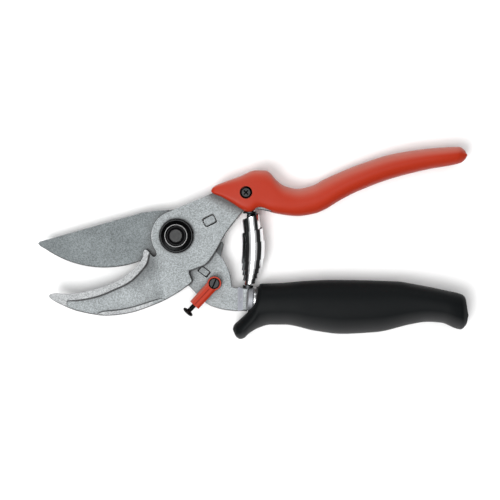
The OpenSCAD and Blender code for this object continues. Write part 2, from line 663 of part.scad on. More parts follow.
module catch_lever() {
    corner = catch_w * 0.2;
    half = catch_w / 2;
    color([0.82, 0.2, 0.12]) difference() {
        union() {
            translate([catch_at[0], catch_at[1], catch_low]) cylinder(r = eye_r, h = eye_floor + 1.9, $fn = ring_fn);
            along_catch() linear_extrude(catch_l) polygon([[-half, corner - half], [corner - half, -half],
                [half - corner, -half], [half, corner - half], [half, half - corner], [half - corner, half],
                [corner - half, half], [-half, half - corner]]);
        }
        translate([catch_at[0], catch_at[1], 0])
            cylinder(r = catch_screw_r + running_gap, h = 2 * catch_z, $fn = 32);
        translate([catch_at[0], catch_at[1], catch_low + eye_floor])
            cylinder(r = catch_screw_head_r + catch_recess_gap, h = catch_z, $fn = 32);
        along_catch(bore_start) cylinder(r = catch_bore_r, h = catch_l, $fn = 32);
    }
}

module catch_bush() {
    color([0.6, 0.15, 0.1]) along_catch(catch_l - catch_bush_l) rod(catch_bore_r, catch_bush_l, 0,
        stem_r + running_gap);
}

module catch_plunger() {
    collar_at = catch_l - catch_bush_l - slide_gap - collar_w;
    head_at = catch_l + plunger_travel + 2.3;
    color([0.12, 0.12, 0.13]) {
        along_catch(collar_at) rod(catch_bore_r - running_gap, collar_w, 0.1);
        along_catch(collar_at) rod(stem_r, head_at - collar_at + tiny);
        along_catch(head_at) rotate_extrude($fn = ring_fn) polygon([[0, 0], [plunger_head_r - 0.9, 0],
            [plunger_head_r, 0.5], [plunger_head_r, 1.2], [plunger_head_r - 0.5, 1.7],
            [plunger_head_r - 1.3, 1.9], [0, 1.9]]);
    }
}

// The small spring behind the plunger, as the tube that its coil fills
module plunger_spring() {
    spring_end = catch_l - catch_bush_l - slide_gap - collar_w;
    color([0.75, 0.76, 0.77]) along_catch(bore_start)
        rod(catch_bore_r - 0.15, spring_end - bore_start, 0, catch_bore_r - 0.65);
}

module catch_screw() {
    head_z = catch_low + eye_floor + slide_gap;
    head_h = 1.6;
    color([0.25, 0.26, 0.27]) translate([catch_at[0], catch_at[1], 0]) {
        translate([0, 0, catch_screw_end_z]) rod(catch_screw_r, head_z - catch_screw_end_z + tiny);
        difference() {
            translate([0, 0, head_z]) rod(catch_screw_head_r, head_h, 0.25);
            translate([0, 0, head_z + head_h]) rotate([0, 0, 67])
                cube([3 * catch_screw_head_r, 0.7, 2], center = true);
        }
    }
}

module catch_washer() {
    color([0.6, 0.6, 0.61]) translate([catch_at[0], catch_at[1], handle_top])
        rod(eye_r - 0.3, catch_washer_t, 0, catch_screw_r);
}

counter_blade();
upper_grip();
upper_grip_screw();
stop_stud();
spring_seat_upper();
pivot_bolt();
pivot_washer();
pivot_nut();
main_spring();
cutting_blade();
lower_handle();
blade_screw_front();
blade_screw_rear();
guide_pad();
spring_seat_lower();
pivot_bush();
spindle();
thrust_washer();
spindle_washer();
spindle_screw();
catch_screw();
catch_washer();
roll_grip();
grip_core();
grip_bush_front();
grip_bush_rear();
grip_end_plug();
catch_lever();
catch_bush();
plunger_spring();
catch_plunger();
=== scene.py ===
"""Looks, light and camera for the bypass pruning shears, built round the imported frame."""
import json
import math

import bpy
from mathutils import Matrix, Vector

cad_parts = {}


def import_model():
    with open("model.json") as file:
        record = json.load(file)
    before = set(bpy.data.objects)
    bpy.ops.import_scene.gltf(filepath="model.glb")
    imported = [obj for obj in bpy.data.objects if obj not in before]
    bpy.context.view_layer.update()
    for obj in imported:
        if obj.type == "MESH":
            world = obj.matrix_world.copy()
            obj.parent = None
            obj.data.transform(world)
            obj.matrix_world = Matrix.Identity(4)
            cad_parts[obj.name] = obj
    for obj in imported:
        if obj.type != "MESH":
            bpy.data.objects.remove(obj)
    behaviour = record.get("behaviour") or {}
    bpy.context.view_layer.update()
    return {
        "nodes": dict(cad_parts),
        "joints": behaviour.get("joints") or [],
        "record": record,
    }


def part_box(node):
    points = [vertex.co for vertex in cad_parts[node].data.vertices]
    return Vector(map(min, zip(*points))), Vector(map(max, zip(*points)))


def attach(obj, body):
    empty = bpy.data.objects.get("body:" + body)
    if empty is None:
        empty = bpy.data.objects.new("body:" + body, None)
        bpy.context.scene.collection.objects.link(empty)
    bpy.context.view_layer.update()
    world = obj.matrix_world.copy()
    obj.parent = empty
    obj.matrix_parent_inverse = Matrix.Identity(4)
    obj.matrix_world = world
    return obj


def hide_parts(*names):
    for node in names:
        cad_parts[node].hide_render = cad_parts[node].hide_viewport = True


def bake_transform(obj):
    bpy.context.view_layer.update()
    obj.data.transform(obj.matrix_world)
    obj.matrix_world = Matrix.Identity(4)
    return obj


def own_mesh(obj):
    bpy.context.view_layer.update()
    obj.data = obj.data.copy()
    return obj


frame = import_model()

MM = 0.001
TAU = 2 * math.pi
UP = Vector((0, 0, 1))
SLOTS = {part["node"]: part["material_slot"] for part in frame["record"]["subparts"]}


def joint_named(name):
    """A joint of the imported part, with its point, axis and range."""
    return next(joint for joint in frame["joints"] if joint["name"] == name)


def direction(joint):
    return Vector(joint["axis"]).normalized()


def middle_of(node):
    """The middle of a node's box."""
    low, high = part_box(node)
    return (Vector(low) + Vector(high)) / 2


def top_of(node):
    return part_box(node)[1][2]


# ---------------------------------------------------------------- mesh helpers

def deselect():
    """Nothing is selected and no mesh is being edited."""
    if bpy.context.object and bpy.context.object.mode != "OBJECT":
        bpy.ops.object.mode_set(mode="OBJECT")
    bpy.ops.object.select_all(action="DESELECT")


def make_active(piece):
    deselect()
    piece.select_set(True)
    bpy.context.view_layer.objects.active = piece


def edit_all(piece):
    make_active(piece)
    bpy.ops.object.mode_set(mode="EDIT")
    bpy.ops.mesh.select_all(action="SELECT")


def leave_edit():
    bpy.ops.object.mode_set(mode="OBJECT")


def settle(piece):
    """The piece's place goes into its mesh, and its object sits at the origin."""
    make_active(piece)
    bpy.ops.object.transform_apply(location=True, rotation=True, scale=True)
    return piece


def apply_modifier(piece, kind, **values):
    make_active(piece)
    modifier = piece.modifiers.new(kind.lower(), kind)
    for name, value in values.items():
        setattr(modifier, name, value)
    bpy.ops.object.modifier_apply(modifier=modifier.name)


def smooth(piece, angle=35):
    make_active(piece)
    bpy.ops.object.shade_smooth_by_angle(angle=math.radians(angle))
    return piece


def finished(piece, name, body, material, slot, *nodes):
    """Names, paints and seats a new piece that stands for the given CAD nodes."""
    piece.name = name
    piece.data.name = name
    piece.data.materials.clear()
    piece.data.materials.append(material)
    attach(piece, body)
    if nodes:
        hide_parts(*nodes)
    return piece


WELD = 0.002 * MM   # points closer than this are one point


def merged_copy(node):
    """A copy of a CAD node's mesh, with its loose triangles merged into clean faces."""
    deselect()
    source = frame["nodes"][node]
    piece = bpy.data.objects.new(node + "_copy", source.data.copy())
    bpy.context.scene.collection.objects.link(piece)
    piece.matrix_world = source.matrix_world.copy()
    settle(piece)
    edit_all(piece)
    bpy.ops.mesh.remove_doubles(threshold=WELD)
    bpy.ops.mesh.dissolve_limited(angle_limit=math.radians(1))
    leave_edit()
    return piece


def bevelled(piece, width, segments):
    """The piece with its sharp edges rounded, and its large faces still shaded flat."""
    apply_modifier(piece, "BEVEL", width=width * MM, segments=segments, limit_method="ANGLE",
                   angle_limit=math.radians(35), use_clamp_overlap=True)
    smooth(piece, 50)
    apply_modifier(piece, "WEIGHTED_NORMAL", keep_sharp=True, weight=100)
    return piece


def cut(piece, cutter):
    """Cuts one closed piece out of another."""
    apply_modifier(piece, "BOOLEAN", operation="DIFFERENCE", solver="EXACT", object=cutter)
    bpy.data.objects.remove(cutter, do_unlink=True)


def cylinder(radius, low, high, vertices=64):
    """A closed cylinder between two points."""
    low, high = Vector(low), Vector(high)
    deselect()
    bpy.ops.mesh.primitive_cylinder_add(vertices=vertices, radius=radius, depth=(high - low).length,
                                        location=(low + high) / 2)
    piece = bpy.context.object
    piece.rotation_mode = "QUATERNION"
    piece.rotation_quaternion = (high - low).to_track_quat("Z", "Y")
    return settle(piece)


def wrapped_grid(columns, rows, place):
    """A grid rolled into a closed tube: place(u, v) puts each of its points, v going once round."""
    deselect()
    bpy.ops.mesh.primitive_grid_add(x_subdivisions=columns, y_subdivisions=rows, size=1)
    piece = bpy.context.object
    for vertex in piece.data.vertices:
        vertex.co = place(vertex.co.x + 0.5, vertex.co.y + 0.5)
    edit_all(piece)
    bpy.ops.mesh.remove_doubles(threshold=0.5 * WELD)
    bpy.ops.mesh.select_all(action="DESELECT")
    bpy.ops.mesh.select_non_manifold()
    bpy.ops.mesh.fill_holes(sides=0)
    bpy.ops.mesh.select_all(action="SELECT")
    bpy.ops.mesh.normals_make_consistent(inside=False)
    leave_edit()
    return piece


# ---------------------------------------------------------------- profiles

def step_slope(points, i):
    return (points[i + 1][1] - points[i][1]) / (points[i + 1][0] - points[i][0])


def slope(points, i):
    """The slope at a point, kept flat at peaks so that the curve never overshoots."""
    if i == 0:
        return step_slope(points, 0)
    if i == len(points) - 1:
        return step_slope(points, i - 1)
    a, b = step_slope(points, i - 1), step_slope(points, i)
    return 0 if a * b <= 0 else 2 * a * b / (a + b)


def profile(points, x):
    """The height of a smooth profile at x."""
    i = 0
    while i < len(points) - 2 and x >= points[i + 1][0]:
        i += 1
    w = points[i + 1][0] - points[i][0]
    t = (x - points[i][0]) / w
    s = 1 - t
    return (points[i][1] * (1 + 2 * t) * s * s + points[i + 1][1] * t * t * (3 - 2 * t)
            + w * (slope(points, i) * t * s * s - slope(points, i + 1) * t * t * s))


def signed_power(value, power):
    return math.copysign(abs(value) ** power, value)


# ---------------------------------------------------------------- shader helpers

def add(tree, kind, **values):
    """A shader node; values set its properties, or its inputs where it has an input of that name."""
    made = tree.nodes.new(kind)
    for name, value in values.items():
        words = name.replace("_", " ").title()
        if hasattr(made, name):
            setattr(made, name, value)
        else:
            made.inputs[words].default_value = value
    return made


def ramp(tree, factor, *stops):
    """A colour ramp over (position, grey or colour) stops."""
    made = tree.nodes.new("ShaderNodeValToRGB")
    elements = made.color_ramp.elements
    while len(elements) < len(stops):
        elements.new(0.5)
    for element, (position, colour) in zip(elements, stops):
        element.position = position
        element.color = (*colour, 1) if isinstance(colour, tuple) else (colour, colour, colour, 1)
    tree.links.new(factor, made.inputs["Fac"])
    return made.outputs["Color"]


def mixed(tree, factor, a, b, blend="MIX"):
    """Mixes two colours; each is a socket or a colour."""
    made = tree.nodes.new("ShaderNodeMix")
    made.data_type = "RGBA"
    made.blend_type = blend
    for socket, value in ((made.inputs[0], factor), (made.inputs[6], a), (made.inputs[7], b)):
        if isinstance(value, bpy.types.NodeSocket):
            tree.links.new(value, socket)
        elif isinstance(value, tuple):
            socket.default_value = (*value, 1)
        else:
            socket.default_value = value
    return made.outputs[2]


def math_node(tree, operation, a, b, clamp=False):
    made = tree.nodes.new("ShaderNodeMath")
    made.operation = operation
    made.use_clamp = clamp
    for socket, value in zip(made.inputs, (a, b)):
        if isinstance(value, bpy.types.NodeSocket):
            tree.links.new(value, socket)
        else:
            socket.default_value = value
    return made.outputs[0]


def place_on_piece(tree):
    """The point being shaded, in the piece's own frame."""
    return tree.nodes.new("ShaderNodeTexCoord").outputs["Object"]


def split_xyz(tree, vector):
    made = tree.nodes.new("ShaderNodeSeparateXYZ")
    tree.links.new(vector, made.inputs["Vector"])
    return made.outputs


def dotted(tree, a, b):
    """The dot product of two vectors; b is a socket or a vector."""
    made = tree.nodes.new("ShaderNodeVectorMath")
    made.operation = "DOT_PRODUCT"
    tree.links.new(a, made.inputs[0])
    if isinstance(b, bpy.types.NodeSocket):
        tree.links.new(b, made.inputs[1])
    else:
        made.inputs[1].default_value = b
    return made.outputs["Value"]


def new_group(name, inputs, outputs):
    """A shader node group with named float inputs and outputs of the given types."""
    tree = bpy.data.node_groups.new(name, "ShaderNodeTree")
    for label, value in inputs.items():
        socket = tree.interface.new_socket(label, in_out="INPUT", socket_type="NodeSocketFloat")
        socket.default_value = value
    for label, kind in outputs.items():
        tree.interface.new_socket(label, in_out="OUTPUT", socket_type=kind)
    return tree, tree.nodes.new("NodeGroupInput"), tree.nodes.new("NodeGroupOutput")


def blasted_grain():
    """The speckle of a blasted surface: pits of random tone, mixed with fine noise."""
    tree, given, result = new_group("Blasted grain", {"Scale": 1400.0, "Contrast": 0.25},
                                    {"Tone": "NodeSocketFloat", "Height": "NodeSocketFloat"})
    place = place_on_piece(tree)
    pits = tree.nodes.new("ShaderNodeTexVoronoi")
    fine = add(tree, "ShaderNodeTexNoise", detail=3.0, roughness=0.7)
    for made in (pits, fine):
        tree.links.new(place, made.inputs["Vector"])
        tree.links.new(given.outputs["Scale"], made.inputs["Scale"])
    random = tree.nodes.new("ShaderNodeSeparateColor")
    tree.links.new(pits.outputs["Color"], random.inputs["Color"])
    both = math_node(tree, "ADD", math_node(tree, "MULTIPLY", fine.outputs["Fac"], 0.5),
                     math_node(tree, "MULTIPLY", random.outputs["Red"], 0.5))
    centred = math_node(tree, "SUBTRACT", both, 0.5)
    tone = math_node(tree, "ADD", math_node(tree, "MULTIPLY", centred, given.outputs["Contrast"]), 1.0)
    tree.links.new(tone, result.inputs["Tone"])
    tree.links.new(both, result.inputs["Height"])
    return tree


def edge_wear():
    """A mask of the rubbed edges: 1 on a sharp edge, 0 away from it, broken up by noise."""
    tree, given, result = new_group("Edge wear", {"Width": 0.0004, "Breakup": 0.5},
                                    {"Mask": "NodeSocketFloat"})
    rounded = tree.nodes.new("ShaderNodeBevel")
    rounded.samples = 4
    tree.links.new(given.outputs["Width"], rounded.inputs["Radius"])
    flat = tree.nodes.new("ShaderNodeNewGeometry").outputs["Normal"]
    turn = math_node(tree, "SUBTRACT", 1.0, dotted(tree, rounded.outputs["Normal"], flat))
    edge = math_node(tree, "MULTIPLY", turn, 6.0, clamp=True)
    patchy = add(tree, "ShaderNodeTexNoise", scale=900.0, detail=3.0, roughness=0.5)
    tree.links.new(place_on_piece(tree), patchy.inputs["Vector"])
    breakup = math_node(tree, "MULTIPLY", patchy.outputs["Fac"], given.outputs["Breakup"])
    mask = math_node(tree, "SUBTRACT", edge, breakup, clamp=True)
    tree.links.new(mask, result.inputs["Mask"])
    return tree


def soft_mottle():
    """Slow, faint change of tone and gloss over a surface, from handling and moulding."""
    tree, given, result = new_group("Soft mottle", {"Scale": 60.0, "Amount": 0.1},
                                    {"Tone": "NodeSocketFloat", "Haze": "NodeSocketFloat"})
    place = place_on_piece(tree)
    slow = add(tree, "ShaderNodeTexNoise", detail=3.0, roughness=0.55)
    tree.links.new(place, slow.inputs["Vector"])
    tree.links.new(given.outputs["Scale"], slow.inputs["Scale"])
    centred = math_node(tree, "SUBTRACT", slow.outputs["Fac"], 0.5)
    tone = math_node(tree, "ADD", math_node(tree, "MULTIPLY", centred, given.outputs["Amount"]), 1.0)
    tree.links.new(tone, result.inputs["Tone"])
    tree.links.new(slow.outputs["Fac"], result.inputs["Haze"])
    return tree


def recess_shade():
    """A mask of the narrow recesses where shade is painted: 1 deep in a groove, 0 on open faces."""
    tree, given, result = new_group("Recess shade", {"Reach": 0.001, "Gain": 1.6, "Floor": 0.25},
                                    {"Mask": "NodeSocketFloat"})
    shade = tree.nodes.new("ShaderNodeAmbientOcclusion")
    shade.samples = 8
    tree.links.new(given.outputs["Reach"], shade.inputs["Distance"])
    closed = math_node(tree, "SUBTRACT", 1.0, shade.outputs["AO"])
    above = math_node(tree, "SUBTRACT", closed, given.outputs["Floor"], clamp=True)
    mask = math_node(tree, "MULTIPLY", above, given.outputs["Gain"], clamp=True)
    tree.links.new(mask, result.inputs["Mask"])
    return tree


GRAIN = blasted_grain()
WEAR = edge_wear()
MOTTLE = soft_mottle()
RECESS_SHADE = recess_shade()


def use(tree, group, **values):
    made = tree.nodes.new("ShaderNodeGroup")
    made.node_tree = group
    for name, value in values.items():
        made.inputs[name.title()].default_value = value
    return made


def new_material(name, **fixed):
    """A material with a Principled shader; fixed values are set on its own sockets."""
    material = bpy.data.materials.new(name)
    material.use_nodes = True
    shader = material.node_tree.nodes["Principled BSDF"]
    for label, value in fixed.items():
        shader.inputs[label.replace("_", " ").title().replace("Ior", "IOR")].default_value = value
    return material, material.node_tree, shader


def toned(tree, colour, *tones):
    """A colour multiplied by one or more tone values."""
    for tone in tones:
        even = tree.nodes.new("ShaderNodeCombineColor")
        for socket in even.inputs:
            tree.links.new(tone, socket)
        colour = mixed(tree, 1.0, colour, even.outputs[0], "MULTIPLY")
    return colour


def recess_shaded(tree, colour, shade_colour, **values):
    """A colour that turns to a painted shade colour in narrow recesses."""
    shade_mask = use(tree, RECESS_SHADE, **values)
    return mixed(tree, shade_mask.outputs["Mask"], colour, shade_colour)


def shaded(tree, colour, shade):
    """A colour that darkens softly near taller neighbours: painted shade."""
    near = use(tree, RECESS_SHADE, reach=0.006, gain=1.5, floor=0.1)
    return mixed(tree, near.outputs["Mask"], colour, shade)


def ground_mask(tree, beyond, above):
    """1 where the piece lies further towards -X than `beyond` and higher than `above`, both in mm."""
    x, _, z = split_xyz(tree, place_on_piece(tree))
    out = math_node(tree, "LESS_THAN", x, beyond * MM)
    up = math_node(tree, "GREATER_THAN", z, above * MM)
    return math_node(tree, "MULTIPLY", out, up)


def distance_from(tree, at):
    """The distance in metres, seen along Z, from a point (x, y) given in mm."""
    flat = tree.nodes.new("ShaderNodeVectorMath")
    flat.operation = "MULTIPLY_ADD"
    flat.inputs[1].default_value = (1, 1, 0)
    flat.inputs[2].default_value = (-at[0] * MM, -at[1] * MM, 0)
    tree.links.new(place_on_piece(tree), flat.inputs[0])
    reach = tree.nodes.new("ShaderNodeVectorMath")
    reach.operation = "LENGTH"
    tree.links.new(flat.outputs[0], reach.inputs[0])
    return reach.outputs["Value"]


def ring_mask(tree, inner, outer, at):
    """1 where the distance from a point (x, y), seen along Z, lies between two radii; all in mm."""
    reach = distance_from(tree, at)
    beyond = math_node(tree, "GREATER_THAN", reach, inner * MM)
    within = math_node(tree, "LESS_THAN", reach, outer * MM)
    return math_node(tree, "MULTIPLY", beyond, within)


def spot_mask(tree, at, radius):
    """1 at a point (x, y), falling softly to 0 at the radius; all in mm."""
    near = math_node(tree, "DIVIDE", distance_from(tree, at), radius * MM)
    return ramp(tree, near, (0.0, 1.0), (0.35, 0.75), (1.0, 0.0))


def lee_mask(tree, at, way, width):
    """1 on a line through (x, y) at right angles to `way`, falling to 0 the width off it; all in mm."""
    out = Vector((*way, 0)).normalized()
    beyond = math_node(tree, "SUBTRACT", dotted(tree, place_on_piece(tree), out),
                       out.dot(Vector((*at, 0))) * MM)
    away = math_node(tree, "ABSOLUTE", beyond, 0.0)
    return ramp(tree, math_node(tree, "DIVIDE", away, width * MM), (0.0, 1.0), (0.4, 0.5), (1.0, 0.0))


def rounded_normal(tree, radius):
    """The piece's own normal, turning softly over its edges within a radius in m."""
    soft = tree.nodes.new("ShaderNodeBevel")
    soft.samples = 8
    soft.inputs["Radius"].default_value = radius
    turned = tree.nodes.new("ShaderNodeVectorTransform")
    turned.vector_type = "NORMAL"
    turned.convert_from, turned.convert_to = "WORLD", "OBJECT"
    tree.links.new(soft.outputs["Normal"], turned.inputs["Vector"])
    return turned.outputs["Vector"]


def facing_mask(tree, way, start, end=1.0, normal=None):
    """From 0 to 1 where the surface faces a direction in the piece's own frame, more and more squarely."""
    normal = normal or tree.nodes.new("ShaderNodeTexCoord").outputs["Normal"]
    return ramp(tree, dotted(tree, normal, Vector(way).normalized()), (start, 0.0), (end, 1.0))


def bump(tree, shader, height, strength, distance):
    made = add(tree, "ShaderNodeBump", strength=strength, distance=distance)
    tree.links.new(height, made.inputs["Height"])
    tree.links.new(made.outputs["Normal"], shader.inputs["Normal"])


# ---------------------------------------------------------------- materials

# Painted shade: the near-black that the plates turn to in recesses, shade patches and shaded edges
SHADE_BLACK = (0.012, 0.012, 0.013)
GRIP_SHADOW_COLOUR = (0.03, 0.022, 0.02)      # painted shadow in front of the red grip
SLOT_SHADE_BLACK = (0.0005, 0.0005, 0.0005)  # the bottom of a screw's slot, painted black as shade
SLOT_DEPTH = 0.3 * MM                 # below a screw's top, where its slot is painted black as shade
SHADED_EDGE_WAY = (0.6, -0.75, 0.1)           # edges that face this way are painted dark, as shade


def grey(tone):
    return (tone, tone, tone)


def varied(tree, shader, mask, roughness, below, above, span=(0.3, 0.7)):
    """Roughness that moves with a mask, from `below` under the given roughness to `above` over it."""
    rough = ramp(tree, mask, (span[0], roughness - below), (span[1], roughness + above))
    tree.links.new(rough, shader.inputs["Roughness"])


def blasted_metal(name, colour, worn, metallic, roughness, grain_scale=2300.0, contrast=1.4,
                  lip=None, shade_spots=(), shadow_band=None, slant_highlight=None):
    """Blasted or ground metal: speckled tone, faint mottling, brighter rubbed edges, painted shade in
    recesses.

    lip: (reach, height, colour) of the faces that were ground brighter, in mm
    shade_spots: (point, radius, amount) of patches of painted shade away from the ground faces
    shadow_band: (point, way, width, amount) of the painted shadow band in front of a tall neighbour
    slant_highlight: (way, colour) of sloping faces painted brighter, as painted highlight
    """
    material, tree, shader = new_material(name, metallic=metallic)
    grain = use(tree, GRAIN, scale=grain_scale, contrast=contrast)
    mottle = use(tree, MOTTLE, scale=90.0, amount=0.07)
    wear = use(tree, WEAR, width=0.0004, breakup=0.45)
    unground = 1.0
    if lip:
        reach, height, tint = lip
        on_lip = ground_mask(tree, reach, height)
        unground = math_node(tree, "SUBTRACT", 1.0, on_lip)
        colour = mixed(tree, on_lip, colour, tint)
    body = toned(tree, colour, grain.outputs["Tone"], mottle.outputs["Tone"])
    surface = mixed(tree, wear.outputs["Mask"], body, worn)
    # Painted shade: soft dark patches on the jaw's hollow and the blade's tail
    for at, radius, amount in shade_spots:
        patch = math_node(tree, "MULTIPLY", spot_mask(tree, at, radius), amount)
        surface = mixed(tree, math_node(tree, "MULTIPLY", patch, unground), surface, SHADE_BLACK)
    # Painted shadow: a dark band on the plate in front of the red grip
    if shadow_band:
        at, way, width, amount = shadow_band
        band = math_node(tree, "MULTIPLY", lee_mask(tree, at, way, width), amount)
        surface = mixed(tree, band, surface, GRIP_SHADOW_COLOUR)
    # Painted shade on edges that face away from the light
    shaded_edges = facing_mask(tree, SHADED_EDGE_WAY, 0.15, 0.32, rounded_normal(tree, 0.95 * MM))
    surface = mixed(tree, shaded_edges, surface, SHADE_BLACK)
    # Painted shade near taller neighbours
    surface = shaded(tree, surface, tuple(0.3 * channel for channel in worn))
    # Painted highlight: faces sloping the given way are painted brighter
    if slant_highlight:
        way, tint = slant_highlight
        surface = mixed(tree, facing_mask(tree, way, 0.93, 0.985), surface, tint)
    # Painted shade in narrow recesses
    surface = recess_shaded(tree, surface, SHADE_BLACK, reach=0.0014, gain=4.0, floor=0.2)
    tree.links.new(surface, shader.inputs["Base Color"])
    varied(tree, shader, mottle.outputs["Haze"], roughness, 0.06, 0.06)
    bump(tree, shader, grain.outputs["Height"], 0.5, 0.0001)
    return material


def turned_metal(name, colour, roughness, metallic=1.0):
    """Turned metal: fine grain, faint mottling, brighter rubbed edges, recesses painted black as shade."""
    material, tree, shader = new_material(name, metallic=metallic)
    mottle = use(tree, MOTTLE, scale=300.0, amount=0.3)
    grain = use(tree, GRAIN, scale=2500.0, contrast=0.3)
    wear = use(tree, WEAR, width=0.00025, breakup=0.3)
    body = toned(tree, colour, mottle.outputs["Tone"], grain.outputs["Tone"])
    worn = tuple(min(1.0, 1.5 * channel + 0.05) for channel in colour)
    rubbed = mixed(tree, wear.outputs["Mask"], body, worn)
    # Painted shade in narrow recesses
    surface = recess_shaded(tree, rubbed, grey(0.002), gain=4.0, floor=0.2)
    tree.links.new(surface, shader.inputs["Base Color"])
    varied(tree, shader, grain.outputs["Height"], roughness, 0.05, 0.08, (0.35, 0.65))
    bump(tree, shader, grain.outputs["Height"], 0.25, 0.00005)
    return material


def black_oxide(name, colour, roughness, worn=grey(0.03), rings=(), at=(0, 0), recess=None):
    """Blackened steel, rubbed on its edges, with its recesses painted darker as shade.

    rings: (inner, outer, colour) bands round the point `at`, in mm
    recess: the height in m below which the steel is painted black as shade
    """
    material, tree, shader = new_material(name, metallic=1.0)
    mottle = use(tree, MOTTLE, scale=250.0, amount=0.5)
    wear = use(tree, WEAR, width=0.0002, breakup=0.35)
    body = toned(tree, colour, mottle.outputs["Tone"])
    surface = mixed(tree, wear.outputs["Mask"], body, worn)
    # Bands round the point; some are painted shade, such as the screws' black rims and the nut's cup floor
    for inner, outer, tint in rings:
        surface = mixed(tree, ring_mask(tree, inner, outer, at), surface, tint)
    # Painted shade: black below the recess height
    if recess:
        _, _, z = split_xyz(tree, place_on_piece(tree))
        surface = mixed(tree, math_node(tree, "LESS_THAN", z, recess), surface, SLOT_SHADE_BLACK)
    # Painted shade in narrow recesses
    tree.links.new(recess_shaded(tree, surface, grey(0.001)), shader.inputs["Base Color"])
    varied(tree, shader, mottle.outputs["Haze"], roughness, 0.08, 0.08)
    return material


def slotted_screw(name, node, colour, rim, rim_shade_colour, roughness):
    """A blackened screw's head: a rim outside the given radius in mm and a slot, both painted black as
    shade.
    """
    middle = middle_of(node) / MM
    return black_oxide(name, colour, roughness, rings=((rim, 4.0, rim_shade_colour),), at=middle[:2],
                       recess=top_of(node) - SLOT_DEPTH)


def moulded_plastic(name, colour, lighter, roughness=0.5, gloss=0.5, texture_depth=0.2, sheen_side=None):
    """Moulded plastic: slow change of tone, a very fine skin texture, edges a little lighter, recesses
    painted dark as shade.

    sheen_side: (way, start, amount, colour) of the side painted paler, as painted sheen
    """
    material, tree, shader = new_material(name)
    shader.inputs["Specular IOR Level"].default_value = gloss
    mottle = use(tree, MOTTLE, scale=45.0, amount=0.12)
    wear = use(tree, WEAR, width=0.0006, breakup=0.7)
    grain = use(tree, GRAIN, scale=2200.0, contrast=0.06)
    body = toned(tree, colour, mottle.outputs["Tone"], grain.outputs["Tone"])
    surface = mixed(tree, wear.outputs["Mask"], body, lighter)
    # Painted sheen: the side facing the given way is painted paler
    if sheen_side:
        way, start, amount, pale = sheen_side
        side = math_node(tree, "MULTIPLY", facing_mask(tree, way, start), amount)
        surface = mixed(tree, side, surface, pale)
    # Painted shade in narrow recesses, in a darker tone of the plastic's own colour
    dark = tuple(0.06 * channel for channel in colour)
    surface = recess_shaded(tree, surface, dark, gain=2.5, floor=0.3)
    tree.links.new(surface, shader.inputs["Base Color"])
    varied(tree, shader, mottle.outputs["Haze"], roughness, 0.05, 0.06)
    bump(tree, shader, grain.outputs["Height"], texture_depth, 0.00006)
    return material


def polished_chrome(name):
    """Bright strip steel with slightly dull patches."""
    material, tree, shader = new_material(name, metallic=1.0)
    mottle = use(tree, MOTTLE, scale=350.0, amount=0.12)
    body = toned(tree, (0.84, 0.85, 0.86), mottle.outputs["Tone"])
    tree.links.new(body, shader.inputs["Base Color"])
    rough = ramp(tree, mottle.outputs["Haze"], (0.3, 0.04), (0.75, 0.09))
    tree.links.new(rough, shader.inputs["Roughness"])
    return material


# Marks on the plates: a ground lip, patches of painted shade, a painted shadow band and a painted highlight;
# points, radii and widths in mm
GROUND_LIP = (-12.0, 14.35, (0.29, 0.3, 0.305))
# Painted shade in the jaw's hollow, next to its lip and its rim
HOLLOW_SHADE_SPOTS = (((-15.8, -13.6), 10, 0.7), ((-21.0, -21.5), 7.5, 0.45), ((-12.5, -30.8), 8.0, 0.25))
# Painted shadow band on the plate in front of the red grip
GRIP_FRONT_SHADOW = ((27.0, 15.8), (-0.447, -0.894), 4.6, 0.9)
# Painted highlight on the slope of the lower handle's neck
NECK_SLOPE_HIGHLIGHT = ((-0.7, 0, 0.7), (0.4, 0.42, 0.47))
# Painted shade on the blade's tail, under the counter blade
BLADE_TAIL_SHADE = (((21.3, -6.6), 5.0, 0.75),)
# The nut's flange, its bright rim, the floor of its cup painted black as shade, and the step in the cup
NUT_RINGS = ((7.35, 8.3, (0.016, 0.0165, 0.017)), (5.32, 5.66, grey(0.15)),
             (3.4, 5.32, (0.0009, 0.0009, 0.001)), (4.35, 4.6, grey(0.01)))
# Painted sheen: the red grip's upper side paler and pinker, the black grip's lower side greyer
PINK_TOP_SHEEN = ((0, 1, 0.1), 0.12, 0.85, (0.53, 0.19, 0.15))
GREY_BOTTOM_SHEEN = ((0.1, -1, 0.1), 0.35, 0.65, (0.075, 0.075, 0.076))

